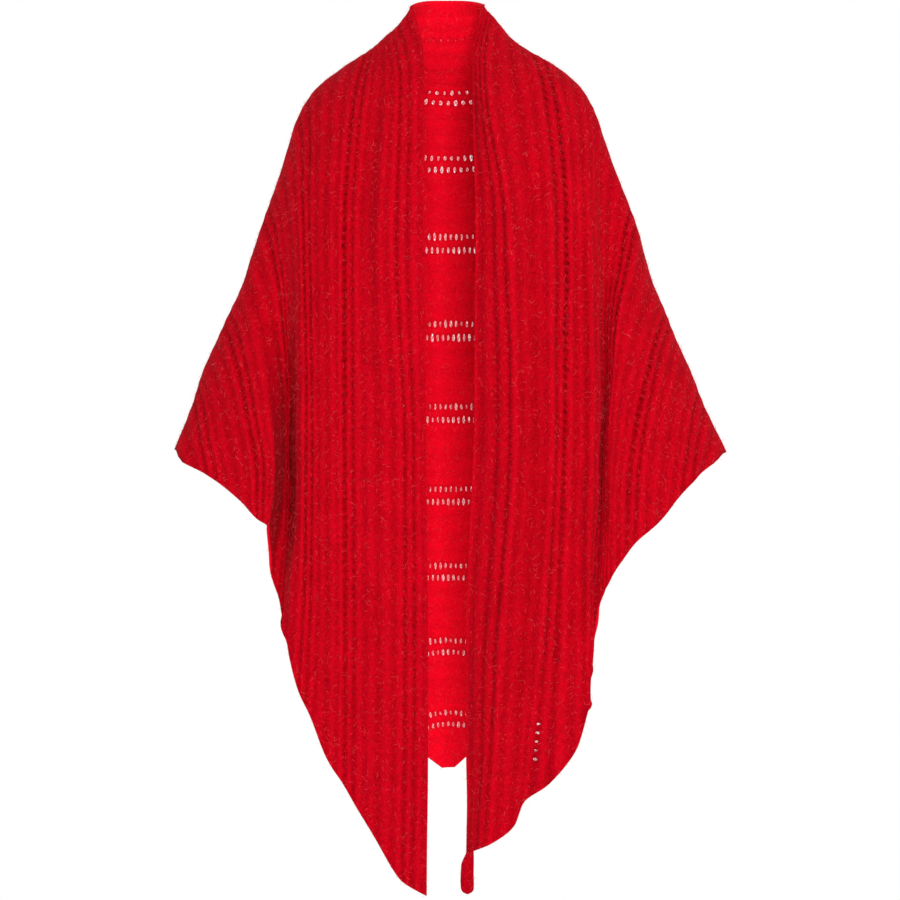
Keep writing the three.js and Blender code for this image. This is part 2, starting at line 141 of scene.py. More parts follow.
# Rows of the fronts and wings, from the crest over neck, shoulder and arm down to the hem.
# x16 to x3 are their places at a sixteenth, a quarter, half and three quarters of the height.
ROW_COLUMNS = ("band", "crestX", "crestZ", "x16", "x1", "x2", "x3", "hemX", "hemZ")
LEFT_ROWS = table(ROW_COLUMNS, (
    (-0.7, -40, 116, -30, -29, -28, -25, -27, -1022),
    (-0.5, -46, 101, -31, -30, -29, -26, -28, -1021),
    (0, -71, 67, -61, -66, -55, -55, -58, -1003),
    (0.5, -84, 56, -88, -99, -94, -93, -94, -946),
    (1, -104, 39, -119, -131, -131, -130, -131, -883),
    (1.4, -138, 17, -147, -152, -150, -150, -153, -848),
    (1.7, -167, -6, -167, -168, -165, -165, -172, -800),
    (2, -189, -40, -185, -182, -179, -180, -188, -764),
    (2.3, -206, -89, -198, -191, -189, -191, -203, -710),
    (2.75, -224, -146, -215, -204, -199, -200, -209, -673),
    (3, -234, -174, -225, -210, -203, -204, -214, -648),
    (3.3, -251, -222, -242, -225, -213, -214, -229, -600),
    (3.55, -262, -258, -254, -240, -228, -220, -226, -562),
    (4, -284, -306, -277, -264, -252, -241, -240, -549),
    (4.5, -305, -354, -301, -292, -283, -274, -266, -522),
    (5, -324, -402, -322, -318, -313, -308, -302, -495),
    (5.42, -347, -462, -344, -342, -340, -336, -331, -480),
))
RIGHT_ROWS = table(ROW_COLUMNS, (
    (-0.7, 38, 115, 30, 29, 27, 20, 19, -967),
    (-0.5, 42, 101, 31, 33, 31, 22, 23, -967),
    (0, 53, 88, 44, 68, 76, 59, 45, -959),
    (0.5, 78, 58, 90, 108, 111, 98, 82, -932),
    (0.75, 98, 44, 113, 128, 129, 117, 94, -903),
    (1, 119, 31, 135, 147, 145, 137, 125, -880),
    (1.3, 146, 13, 156, 164, 166, 162, 162, -832),
    (1.6, 166, -4, 172, 178, 182, 177, 173, -791),
    (1.8, 176, -20, 181, 186, 189, 182, 175, -777),
    (2, 184, -38, 186, 189, 190, 183, 176, -755),
    (2.2, 193, -64, 191, 191, 190, 184, 178, -732),
    (2.5, 210, -111, 206, 199, 195, 190, 182, -702),
    (2.85, 229, -161, 222, 207, 199, 195, 187, -665),
    (3, 236, -179, 229, 210, 201, 198, 191, -650),
    (3.5, 260, -258, 251, 231, 213, 205, 204, -621),
    (4, 279, -305, 272, 258, 244, 236, 233, -580),
    (4.5, 301, -354, 296, 287, 279, 272, 267, -549),
    (5, 322, -408, 320, 316, 312, 308, 303, -505),
    (5.42, 349, -466, 346, 343, 340, 336, 331, -481),
))
STATIONS = ("crestX", "x16", "x1", "x2", "x3", "hemX")
STATION_SHARES = (0, 1 / 16, 1 / 4, 1 / 2, 3 / 4, 1)

# Heights of the bands at the middle of the back, and where they end below the wing tips
BACK_ROWS = table(("band", "z", "rise", "pitch"), (
    (-0.7, 119, 3, 9.6),
    (-0.5, 109, 3, 9.6),
    (0, 59, 3, 9.6),
    (1, -19, 2.8, 9.6),
    (2, -104, 2.6, 8.2),
    (3, -207, 2.3, 6.9),
    (4, -319, 2, 6.8),
    (5, -424, 2, 6.7),
    (6, -529, 2, 6.6),
    (7, -626, 2, 6.6),
    (8, -721, 2, 6.6),
    (9, -813, 1.6, 6.6),
    (9.66, -874, 1, 6.6),
))
BACK_HEM = table(("band", "leftX", "leftZ", "rightX", "rightZ"), (
    (5.42, -347, -462, 349, -466),
    (6, -276, -506, 282, -508),
    (6.5, -222, -556, 228, -562),
    (7, -200, -636, 176, -640),
    (7.5, -168, -715, 156, -702),
    (8, -128, -772, 122, -757),
    (9, -62, -829, 58, -822),
    (9.66, -4, -873, 2, -873),
))

# Depth of the cloth before and behind the crest
FRONT_DEPTH = table(("z", "depth"), (
    (110, 16), (90, 22), (50, 46), (0, 78), (-50, 100),
    (-112, 115), (-225, 124), (-462, 126), (-775, 120), (-1017, 112),
))
BACK_DEPTH = table(("z", "depth"), (
    (116, 57), (59, 64), (-19, 100), (-104, 118),
    (-207, 124), (-424, 121), (-654, 116), (-870, 114),
))

# The deep fold between each front and its wing, where the cloth goes in under the arm
LEFT_VALLEY = {
    "band": (2.2, 2.75, 3.05, 3.6),
    "depth": table(("z", "in"), (
        (-123, 0), (-198, 8), (-274, 22), (-400, 50), (-500, 64),
        (-576, 56), (-651, 26), (-714, 6), (-800, 0),
    )),
}
RIGHT_VALLEY = {
    "band": (1.62, 2.2, 2.4, 3.3),
    "depth": table(("z", "in"), (
        (-48, 2), (-123, 18), (-211, 28), (-400, 34),
        (-540, 26), (-600, 14), (-676, 8), (-800, 6),
    )),
}

# Soft folds that run down the cloth: height of the ridge, or minus the depth of the trough
FOLD_COLUMNS = ("band", "width", "height", "top", "bottom")
LEFT_FOLDS = table(FOLD_COLUMNS, (
    (0.3, 0.12, 5, 40, -330),
    (0.62, 0.14, -6, 30, -420),
    (1.35, 0.3, 5, -60, -820),
    (0.45, 0.25, 5, -420, -960),
    (2.12, 0.12, 4, -120, -640),
    (4.5, 0.3, -6, -400, -520),
))
RIGHT_FOLDS = table(FOLD_COLUMNS, (
    (0.12, 0.12, 6, 60, -900),
    (0.42, 0.14, -7, -60, -840),
    (0.72, 0.12, 6, -40, -800),
    (1.25, 0.18, -6, -150, -760),
    (1.5, 0.12, 7, -120, -740),
    (3.6, 0.3, -6, -300, -560),
))
BACK_FOLDS = table(("topX", "hemX", "width", "height", "top", "bottom"), (
    (-178, -218, 42, -11, -160, -640),
    (-112, -140, 36, 14, -220, -760),
    (-62, -78, 34, -10, -280, -900),
    (70, 80, 34, -10, -260, -900),
    (124, 142, 36, 13, -200, -760),
    (190, 222, 42, -11, -170, -640),
))
ROLL_DEPTH = {"left": 6.0, "right": 26.0}
ROLL_FULL_DEPTH = 100.0
FOLD_FADE = 120

# The narrow rolled end below the right front
TAIL = {"x": 23.0, "y": -94.0, "top": -958.0, "bottom": -1019.0, "wide": 17.0, "thick": 10.0}

# Ridges and grooves that follow the rows in every band, as offsets from its main eyelet row
RIB_COLUMNS = ("offset", "width", "height")
RIBS = table(RIB_COLUMNS, (
    (-0.44, 0.050, 0.9),
    (-0.34, 0.040, -0.5),
    (-0.25, 0.045, 1.1),
    (-0.16, 0.045, -1.2),
    (-0.08, 0.040, 1.2),
    (0.00, 0.045, -1.3),
    (0.09, 0.045, 1.3),
    (0.20, 0.050, -0.5),
    (0.30, 0.050, 0.9),
    (0.44, 0.045, -0.6),
))

# How far the eyelets of a row are open: 1 is wide open
OPEN_COLUMNS = ("row", "top", "upper", "lower", "hem")
LEFT_OPEN = table(OPEN_COLUMNS, (
    (-0.16, 0.20, 0.20, 0.20, 0.15),
    (0, 0.30, 0.40, 0.42, 0.35),
    (0.84, 0.45, 0.30, 0.30, 0.20),
    (1, 0.75, 0.95, 1.00, 0.55),
    (1.84, 0.45, 0.35, 0.35, 0.30),
    (2, 0.60, 0.85, 0.90, 0.60),
    (2.84, 0.50, 0.50, 0.55, 0.50),
    (3, 0.70, 0.90, 0.90, 0.80),
    (3.84, 0.60, 0.65, 0.65, 0.60),
    (4, 0.90, 1.00, 1.00, 0.85),
    (4.84, 0.30, 0.40, 0.40, 0.30),
    (5, 0.40, 0.55, 0.55, 0.40),
))
RIGHT_OPEN = table(OPEN_COLUMNS, (
    (-0.16, 0.20, 0.20, 0.20, 0.15),
    (0, 0.30, 0.40, 0.42, 0.35),
    (0.84, 0.95, 0.45, 0.35, 0.55),
    (1, 1.00, 1.00, 0.95, 0.80),
    (1.84, 0.45, 0.35, 0.35, 0.30),
    (2, 0.60, 0.70, 0.70, 0.50),
    (2.84, 0.95, 1.00, 0.80, 0.50),
    (3, 0.80, 0.80, 0.70, 0.50),
    (3.84, 0.95, 1.05, 1.05, 0.70),
    (4, 0.60, 0.60, 0.55, 0.40),
    (4.84, 0.30, 0.40, 0.40, 0.30),
    (5, 0.25, 0.30, 0.30, 0.25),
))
BACK_OPEN = {"main": 0.92, "partner": 0.84, "neck": 0.30, "far": 0.5, "near": 40.0, "away": 95.0}


# Which points of each mesh are used by a face, and the rings round the eyelets
KEPT = {}
HOLES = {"front": [], "back": []}


def smooth_curve(keys, values, x):
    """Values at x on a smooth curve through the keys that never swings past them.

    values holds one curve, or one curve for each x."""
    keys = np.asarray(keys, float)
    values = np.asarray(values, float)
    x = np.asarray(x, float)
    if keys[0] > keys[-1]:
        keys = keys[::-1]
        values = values[..., ::-1]
    width = np.diff(keys)
    slope = np.diff(values, axis=-1) / width
    before, after = slope[..., :-1], slope[..., 1:]
    same_way = before * after > 0
    a = 2 * width[1:] + width[:-1]
    b = width[1:] + 2 * width[:-1]
    below = a / np.where(same_way, before, 1) + b / np.where(same_way, after, 1)
    inner = np.where(same_way, (a + b) / np.where(same_way, below, 1), 0)
    tangent = np.concatenate([slope[..., :1], inner, slope[..., -1:]], axis=-1)
    i = np.clip(np.searchsorted(keys, x, side="right") - 1, 0, len(keys) - 2)

    def pick(array, j):
        if array.ndim == 1:
            return array[j]
        return np.take_along_axis(array, j[..., None], axis=-1)[..., 0]

    t = (x - keys[i]) / width[i]
    t_in = np.clip(t, 0, 1)
    u = 1 - t_in
    low, high = pick(values, i), pick(values, i + 1)
    m_low, m_high = pick(tangent, i), pick(tangent, i + 1)
    y = low * u * u * (1 + 2 * t_in) + high * t_in * t_in * (3 - 2 * t_in)
    y = y + width[i] * t_in * u * (m_low * u - m_high * t_in)
    return y + np.where(t < 0, m_low * t * width[i], 0) + np.where(t > 1, m_high * (t - 1) * width[i], 0)


def smoothstep(low, high, x):
    t = np.clip((np.asarray(x, float) - low) / (high - low), 0, 1)
    return t * t * (3 - 2 * t)


class Side:
    """One side of the garment: its rows, crest and folds as functions of the band."""

    def __init__(self, name, rows, valley, folds, openness):
        self.name = name
        self.sign = -1.0 if name == "left" else 1.0
        self.rows = rows
        self.valley = valley
        self.folds = folds
        self.openness = openness
        bands = np.arange(-0.7, TIP_BAND + 0.001, 0.04)
        self.reach_z = self.column("crestZ", bands)
        self.reach_x = np.abs(self.column("crestX", bands) - CENTRE_X)

    def column(self, name, band):
        return smooth_curve(self.rows["band"], self.rows[name], band)

    def reach(self, z):
        return smooth_curve(self.reach_z, self.reach_x, z)

    def back_hem(self, axis, band):
        return smooth_curve(BACK_HEM["band"], BACK_HEM[self.name + axis], band)


LEFT = Side("left", LEFT_ROWS, LEFT_VALLEY, LEFT_FOLDS, LEFT_OPEN)
RIGHT = Side("right", RIGHT_ROWS, RIGHT_VALLEY, RIGHT_FOLDS, RIGHT_OPEN)


def rounded_share(share, length, turn):
    """A share of a row's length, slowed near the crest so that the cloth rounds over it."""
    e = np.maximum(turn / np.maximum(length, 1), 1e-6)
    return (np.hypot(share, e) - e) / (np.hypot(1, e) - e)


def section_share(side, x, z):
    """How much of the full depth the section has at x: it goes to nothing at the crest."""
    across = np.clip(np.abs(x - CENTRE_X) / side.reach(z), 0, 1)
    return np.sqrt(1 - across * across)


def fold_height(folds, i, distance, z):
    inside = smoothstep(folds["top"][i], folds["top"][i] - FOLD_FADE, z)
    above = 1 - smoothstep(folds["bottom"][i] + FOLD_FADE, folds["bottom"][i], z)
    return folds["height"][i] * np.exp(-distance * distance) * inside * above


def front_point(side, band, share):
    """The middle of the cloth on a front or wing: band across the sheet, share down the row."""
    band = np.asarray(band, float) + 0 * np.asarray(share, float)
    crest_z, hem_z = side.column("crestZ", band), side.column("hemZ", band)
    down = rounded_share(share, crest_z - hem_z, TURN_LENGTH)
    z = crest_z + (hem_z - crest_z) * down
    places = np.stack([side.column(name, band) for name in STATIONS], axis=-1)
    x = smooth_curve(STATION_SHARES, places, down)
    near = section_share(side, x, z)
    a, b, c, d = side.valley["band"]
    in_valley = smoothstep(a, b, band) * (1 - smoothstep(c, d, band))
    depth = np.maximum(0, smooth_curve(side.valley["depth"]["z"], side.valley["depth"]["in"], z))
    valley = depth * in_valley * smoothstep(0.1, 0.5, near)
    roll = ROLL_DEPTH[side.name] * smoothstep(NECK_BAND + 0.1, EDGE_BAND, band) ** 1.4
    relief = 0
    for i, middle in enumerate(side.folds["band"]):
        relief = relief + fold_height(side.folds, i, (band - middle) / side.folds["width"][i], z)
    front_depth = smooth_curve(FRONT_DEPTH["z"], FRONT_DEPTH["depth"], z)
    roll = roll * np.clip(front_depth / ROLL_FULL_DEPTH, 0, 1) ** 1.5
    y = -front_depth * near + valley + (roll - relief) * smoothstep(0, 0.5, near)
    return np.stack([x, y, z], axis=-1)


def back_point(side, band, share):
    """The middle of the cloth on the back: share is 0 at the middle, 1 at the crest or hem."""
    band = np.asarray(band, float) + 0 * np.asarray(share, float)
    is_open = smoothstep(TIP_BAND, TIP_BAND + 0.6, band)
    on_crest = band <= TIP_BAND
    end_x = np.where(on_crest, side.column("crestX", band), side.back_hem("X", band))
    end_z = np.where(on_crest, side.column("crestZ", band), side.back_hem("Z", band))
    span = np.abs(end_x - CENTRE_X)
    out = 1 - rounded_share(1 - share, span, TURN_LENGTH * (1 - is_open))
    x = CENTRE_X + (end_x - CENTRE_X) * out
    middle_z = smooth_curve(BACK_ROWS["band"], BACK_ROWS["z"], band)
    rise = smooth_curve(BACK_ROWS["band"], BACK_ROWS["rise"], band)
    z = middle_z + (end_z - middle_z) * np.maximum(out, 0) ** rise
    near = section_share(side, x, z)
    relief = 0
    for i, top_x in enumerate(BACK_FOLDS["topX"]):
        top, bottom = BACK_FOLDS["top"][i], BACK_FOLDS["bottom"][i]
        low = np.clip((top - z) / (top - bottom), 0, 1)
        middle = top_x + (BACK_FOLDS["hemX"][i] - top_x) * low
        relief = relief + fold_height(BACK_FOLDS, i, (x - middle) / BACK_FOLDS["width"][i], z)
    back_depth = smooth_curve(BACK_DEPTH["z"], BACK_DEPTH["depth"], z)
    y = back_depth * near + relief * smoothstep(0.1, 0.6, near)
    return np.stack([x, y, z], axis=-1)


def unit(vectors):
    return vectors / np.maximum(np.linalg.norm(vectors, axis=-1, keepdims=True), 1e-12)


def crest_way(side, band):
    """On the crest the cloth faces straight out of the outline, front and back alike."""
    step = 0.01
    run = side.column("crestX", band + step) - side.column("crestX", band - step)
    drop = side.column("crestZ", band + step) - side.column("crestZ", band - step)
    return unit(np.array([-drop * side.sign, 0.0, run * side.sign]))


def ways_out(point, side, facing, band, share, crest_share):
    """The way out of the cloth at each share of one row."""
    step = 0.004
    low = np.maximum(share - step, 0)
    high = np.minimum(share + step, 1)
    along_band = point(side, band + step, share) - point(side, band - step, share)
    along_row = point(side, band, high) - point(side, band, low)
    way = unit(np.cross(along_band, along_row)) * facing
    if crest_share is not None:
        way[np.abs(share - crest_share) < 1e-9] = crest_way(side, band)
    return way


def row_lengths(point, side, band):
    """Shares of a row from its start to its end, and the cloth's length up to each."""
    share = np.linspace(0, 1, 700)
    steps = np.linalg.norm(np.diff(point(side, band, share), axis=0), axis=1)
    return share, np.concatenate([[0], np.cumsum(steps)])


def band_spacing(point, side, band, share):
    """Width of a band, as a share of its width in the loose cloth, at each share of a row."""
    step = 0.01
    across = point(side, band + step, share) - point(side, band - step, share)
    return np.linalg.norm(across, axis=1) / (2 * step * BAND_MM)


def half_column(point, side, facing, band, pitch, crest_share, rim):
    """One half of a row of the grid: even steps from its start, then the steps of the rim."""
    share, length = row_lengths(point, side, band)
    whole = length[-1]
    step = pitch / CELLS
    last = max(2, int((whole - RIM_STEPS[0] - 0.35 * step) / step))
    along = np.concatenate([np.arange(last + 1) * step, whole - np.array(RIM_STEPS)])
    along[: last + 1] = np.minimum(along[: last + 1], (whole - RIM_STEPS[0]) * np.arange(last + 1) / last)
    shares = np.interp(along, length, share)
    shares[-1] = 1.0
    return {
        "along": along,
        "to_end": (whole - along) if rim else np.full(len(along), 1e3),
        "middle": point(side, band, shares),
        "way": ways_out(point, side, facing, band, shares, crest_share),
        "spacing": band_spacing(point, side, band, shares),
        "over": unit(point(side, band - 0.01, shares) - point(side, band + 0.01, shares)),
        "last": last,
    }


def rib_height(band):
    """Height of the ribs that follow the rows, at a band."""
    height = 0.0
    for i, offset in enumerate(RIBS["offset"]):
        away = (band - offset + 0.5) % 1.0 - 0.5
        height = height + RIBS["height"][i] * math.exp(-(away / RIBS["width"][i]) ** 2)
    return height


def wave_number(chance, shortest, longest):
    """Angle for each millimetre of a wave whose length is between the two."""
    return 2 * math.pi / chance.uniform(shortest, longest)


rng = np.random.default_rng(SEED)
WAVES = [
    (wave_number(rng, 45, 160), wave_number(rng, 60, 260), rng.uniform(0, 7), rng.uniform(0.3, 1.0))
    for _ in range(9)
]
HEM_WAVES = [(wave_number(rng, 38, 120), rng.uniform(0, 7), rng.uniform(0.5, 1.0)) for _ in range(5)]


def unevenness(across, along):
    """Small soft hills and hollows of cloth that isn't pressed."""
    total = 0
    for a, b, phase, size in WAVES:
        total = total + size * np.sin(a * across + b * along + phase)
    return UNEVEN_HEIGHT * total


def hem_wave(place):
    total = 0
    for a, phase, size in HEM_WAVES:
        total = total + size * np.sin(a * place + phase)
    return total


def rim_profile(distance):
    """Half the cloth's thickness near a rim: it swells to a roll and closes at the end."""
    swell = RIM_SWELL * np.exp(-(((distance - RIM_MIDDLE) / RIM_WIDTH) ** 2))
    return (HALF_WALL + swell) * np.sqrt(np.clip((distance + 0.35) / 1.6, 0.15, 1))


def column_bands(first, last):
    """Every band at which the sheet has a row of points, from first to last."""
    bands = {round(k + offset, 4) for k in range(-1, 10) for offset in BAND_OFFSETS}
    inner = [band for band in bands if first + 0.016 < band < last - 0.016]
    near_edge = [EDGE_BAND + step / BAND_MM for step in EDGE_STEPS]
    if first == EDGE_BAND:
        inner = [band for band in inner if band > near_edge[-1] + 0.02] + near_edge
    near_tip = [POINT_BAND - step / POINT_BAND_MM for step in POINT_STEPS]
    if last == POINT_BAND:
        inner = [band for band in inner if band < near_tip[-1] - 0.02] + near_tip
    return sorted([first, last] + inner)


def front_columns(side, bands):
    facing = -side.sign
    columns = []
    for band in bands:
        half = half_column(front_point, side, facing, band, FRONT_PITCH, 0.0, True)
        half["band"] = band
        half["first"] = 0
        half["side"] = np.full(len(half["along"]), side.sign)
        half["from_crest"] = half["along"]
        columns.append(half)
    return columns


def back_columns(bands):
    columns = []
    for band in bands:
        pitch = float(smooth_curve(BACK_ROWS["band"], BACK_ROWS["pitch"], band))
        on_crest = band <= TIP_BAND
        crest = 1.0 if on_crest else None
        left, right = (
            half_column(back_point, side, -side.sign, band, pitch, crest, not on_crest)
            for side in (LEFT, RIGHT)
        )
        joined = {"band": band, "first": -left["last"], "last": right["last"]}
        for key in ("along", "to_end", "middle", "way", "spacing", "over"):
            joined[key] = np.concatenate([left[key][:0:-1], right[key]])
        joined["along"][: len(left["along"]) - 1] *= -1
        joined["side"] = np.where(joined["along"] < 0, -1.0, 1.0)
        ends = np.where(joined["side"] < 0, left["along"][-1], right["along"][-1])
        joined["from_crest"] = np.abs(joined["along"]) - ends
        columns.append(joined)
    return columns


def place_cloth(column, on_back):
    """Adds to a column its outer and inner points, with ribs and rolled rims, and how pale they are, which is
    painted light and shade.
    """
    band = column["band"]
    across = band * BAND_MM
    uneven = unevenness(across, column["from_crest"] + 400 * column["side"])
    if on_back:
        uneven = uneven * smoothstep(0, 60, np.abs(column["along"]))
    edge = (band - EDGE_BAND) * BAND_MM
    if band > TIP_BAND:
        edge = min(edge, (POINT_BAND - band) * POINT_BAND_MM)
    rim = np.minimum(column["to_end"], edge)
    half = rim_profile(rim)
    off_crest = smoothstep(0, CREST_CALM, np.abs(column["from_crest"]))
    ribs = rib_height(band) * smoothstep(3, 12, rim) * (CREST_RIBS + (1 - CREST_RIBS) * off_crest)
    ribs = ribs * np.clip(column["spacing"], 0.2, 1.0)
    curl = RIM_CURL * np.exp(-rim / 5.0) * off_crest
    near_hem = np.exp(-np.minimum(column["to_end"], 500) / 30.0) * off_crest
    wave = HEM_WAVE * hem_wave(across * 2.2 + 300 * column["side"]) * near_hem
    shift = ribs + uneven + curl + wave
    column["outer"] = column["middle"] + column["way"] * (shift + half)[:, None]
    column["inner"] = column["middle"] + column["way"] * (shift - half)[:, None]
    column["across"] = across
    # Painted shade and light: grooves between the ribs darker and ridges paler, the rolled rims paler as a
    # painted highlight, the inner side paler and the outer side darker
    ribbed = rib_height(band) * np.clip(column["spacing"], 0.1, 1.0)
    rim_highlight = RIM_PAINTED_HIGHLIGHT * np.exp(-(((rim - 2.0) / 2.5) ** 2))
    column["outer_painted_light"] = OUTER_PAINTED_SHADE + OUTER_RIB_PAINTED_SHADE * ribbed + rim_highlight
    column["inner_painted_light"] = INNER_PAINTED_LIGHT + INNER_RIB_PAINTED_SHADE * ribbed + rim_highlight


def front_openness(side, row, share):
    """How far an eyelet of a front row is open at a share of its length."""
    rows = side.openness["row"]
    i = int(np.argmin(np.abs(rows - row)))
    if abs(rows[i] - row) > 0.01:
        return 0.0
    values = [side.openness[name][i] for name in ("top", "upper", "lower", "hem")]
    return float(smooth_curve((0, 0.3, 0.7, 1), values, share))


def back_openness(row, from_middle):
    """How far an eyelet of the back is open: most at the middle, where the cloth hangs straight."""
    whole = abs(row - round(row)) < 0.01
    if row < 0.5:
        return BACK_OPEN["neck"] if whole else 0.0
    most = BACK_OPEN["main"] if whole else BACK_OPEN["partner"]
    away = float(smoothstep(BACK_OPEN["near"], BACK_OPEN["away"], from_middle))
    return most + (BACK_OPEN["far"] * most - most) * away


def stitch_grid(columns):
    """Number every point, and list the quads between neighbouring columns as the sheet's faces.

    Where two rows have a different number of steps, the longer row's spare steps are fanned."""
    starts = np.cumsum([0] + [len(column["along"]) for column in columns])
    rim_count = len(RIM_STEPS)
    for column, start in zip(columns, starts):
        low_rim = rim_count if column["first"] < 0 else 0
        column["zero"] = int(start) + low_rim - column["first"]
    faces = []
    owners = []
    for i in range(len(columns) - 1):
        a, b = columns[i], columns[i + 1]
        first = max(a["first"], b["first"])
        last = min(a["last"], b["last"])
        for j in range(first, last):
            faces.append((a["zero"] + j, a["zero"] + j + 1, b["zero"] + j + 1, b["zero"] + j))
            owners.append((i, j))
        for direction, stop in ((1, last), (-1, first)):
            if direction < 0 and a["first"] == 0:
                continue
            ends = [column["last"] if direction > 0 else column["first"] for column in (a, b)]
            for j in range(stop, ends[0], direction):
                near = b["zero"] + stop
                tri = (a["zero"] + j, a["zero"] + j + direction, near)
                faces.append(tri if direction > 0 else tri[::-1])
                owners.append(None)
            for j in range(stop, ends[1], direction):
                near = a["zero"] + stop
                tri = (near, b["zero"] + j + direction, b["zero"] + j)
                faces.append(tri if direction > 0 else tri[::-1])
                owners.append(None)
            for j in range(rim_count):
                p = a["zero"] + ends[0] + direction * j
                q = b["zero"] + ends[1] + direction * j
                quad = (p, p + direction, q + direction, q)
                faces.append(quad if direction > 0 else quad[::-1])
                owners.append(None)
    return faces, owners, int(starts[-1])


def eyelet_places(columns, row_openness):
    """Every eyelet as (column, step, openness), on the rows that have their grid columns."""
    places = []
    bands = [column["band"] for column in columns]
    for i in range(1, len(columns) - 1):
        band = bands[i]
        is_main = abs(band - round(band)) < 0.001
        is_partner = abs(band + PAIR_STEP - round(band + PAIR_STEP)) < 0.001
        if not (is_main or is_partner) or band < -0.2 or band > 9.1:
            continue
        if abs(bands[i - 1] - band) > 0.05 or abs(bands[i + 1] - band) > 0.05:
            continue
        low = max(columns[i + d]["first"] for d in (-1, 0, 1))
        high = min(columns[i + d]["last"] for d in (-1, 0, 1))
        shift = 0 if is_main else 2
        for j in range(-CELLS * 400 + shift, high - 1, CELLS):
            if j < low + 2:
                continue
            openness = row_openness(band, columns[i], j)
            if openness > 0.12:
                places.append((i, j, openness))
    return places


def open_eyelets(columns, places, outer, inner, owners, faces):
    """Shapes the ring of points round each eyelet to a soft oval and drops the faces inside it."""
    chance = np.random.default_rng(SEED + 1)
    dropped = set()
    ring = [(c, s) for c in (-1, 0, 1) for s in (-1, 0, 1) if (c, s) != (0, 0)]
    for i, j, openness in places:
        for c in (-1, 0):
            for s in (-1, 0):
                dropped.add((i + c, j + s))
        centre = columns[i]["zero"] + j
        size = openness * chance.uniform(*EYELET_SPREAD)
        slim = chance.uniform(*EYELET_SPREAD)
        lean = chance.normal(0, EYELET_LEAN)
        shift = chance.normal(0, EYELET_SHIFT, 2)
        for cloth in (outer, inner):
            middle = cloth[centre].copy()
            across = (cloth[columns[i + 1]["zero"] + j] - cloth[columns[i - 1]["zero"] + j]) / 2
            along = (cloth[centre + 1] - cloth[centre - 1]) / 2
            way = along / np.linalg.norm(along)
            across = across - way * float(across @ way)
            for c, s in ring:
                turn = math.atan2(s, c) + lean
                point = middle + across * (EYELET_ACROSS * slim * size * math.cos(turn) + 0.1 * shift[0])
                point = point + along * (EYELET_ALONG * size * math.sin(turn) + 0.1 * shift[1])
                cloth[columns[i + c]["zero"] + j + s] = point
    return [face for face, owner in zip(faces, owners) if owner is None or owner not in dropped]


def closed_sheet(name, columns, row_openness, on_back):
    """A closed sheet with both its faces, the walls of its eyelets and its rims, as a mesh."""
    for column in columns:
        place_cloth(column, on_back)
    faces, owners, count = stitch_grid(columns)
    outer = np.concatenate([column["outer"] for column in columns])
    inner = np.concatenate([column["inner"] for column in columns])
    way = np.concatenate([column["way"] for column in columns])
    sheet_uv = np.concatenate([
        np.stack([np.full(len(column["along"]), column["across"]), column["from_crest"]], axis=-1)
        for column in columns
    ])
    places = eyelet_places(columns, row_openness)
    faces = open_eyelets(columns, places, outer, inner, owners, faces)
    if facing_in(faces, outer, way):
        faces = [face[::-1] for face in faces]
    walls = wall_faces(faces, count)
    under = [tuple(p + count for p in face[::-1]) for face in faces]
    points = np.concatenate([outer, inner])
    uvs = np.concatenate([sheet_uv, sheet_uv])
    obj = mesh_object(name, points, faces + under + walls, uvs)
    # The shade attribute holds the painted light and shade of the outer and inner faces
    painted_light = [column[key] for key in ("outer_painted_light", "inner_painted_light") for column in columns]
    painted_light = np.concatenate(painted_light)[KEPT[name]]
    layer = obj.data.attributes.new("shade", "FLOAT", "POINT")
    layer.data.foreach_set("value", painted_light.astype(np.float32))
    HOLES["back" if on_back else "front"].extend(hole_rings(columns, places, (outer + inner) / 2))
    set_seam_normals(obj, columns, way, on_back)
    return obj, len(places)


def hole_rings(columns, places, middle):
    """The eight points round each eyelet, in order, halfway through the cloth."""
    order = ((1, 0), (1, 1), (0, 1), (-1, 1), (-1, 0), (-1, -1), (0, -1), (1, -1))
    return [[middle[columns[i + c]["zero"] + j + s] for c, s in order] for i, j, openness in places]


def facing_in(faces, outer, way):
    """Whether the faces, taken all together, point the other way from the cloth's way out."""
    a, b, c = (outer[[face[k] for face in faces]] for k in (0, 1, 2))
    normals = np.cross(b - a, c - a)
    return float((normals * way[[face[0] for face in faces]]).sum()) < 0


def wall_faces(faces, count):
    """Walls from the outer to the inner face along every open edge."""
    seen = {}
    for face in faces:
        for k, p in enumerate(face):
            q = face[(k + 1) % len(face)]
            key = (min(p, q), max(p, q))
            seen[key] = None if key in seen else (p, q)
    return [(q, p, p + count, q + count) for p, q in (edge for edge in seen.values() if edge)]


def mesh_object(name, points, faces, uvs):
    """A mesh object from points in millimetres, without the points that no face uses."""
    used = np.zeros(len(points), bool)
    for face in faces:
        used[list(face)] = True
    number = np.cumsum(used) - 1
    mesh = bpy.data.meshes.new(name)
    mesh.from_pydata((points[used] * MM).tolist(), [], [[int(number[p]) for p in face] for face in faces])
    layer = mesh.uv_layers.new(name="sheet")
    corners = np.empty(len(mesh.loops), dtype=np.int64)
    mesh.loops.foreach_get("vertex_index", corners)
    layer.data.foreach_set("uv", (uvs[used][corners] * MM).ravel())
    mesh.polygons.foreach_set("use_smooth", np.ones(len(mesh.polygons), bool))
    obj = bpy.data.objects.new(name, mesh)
    bpy.context.scene.collection.objects.link(obj)
    KEPT[name] = used
    return obj


def first_point(column):
    """The number of a column's first point."""
    return column["zero"] + column["first"] - (len(RIM_STEPS) if column["first"] < 0 else 0)


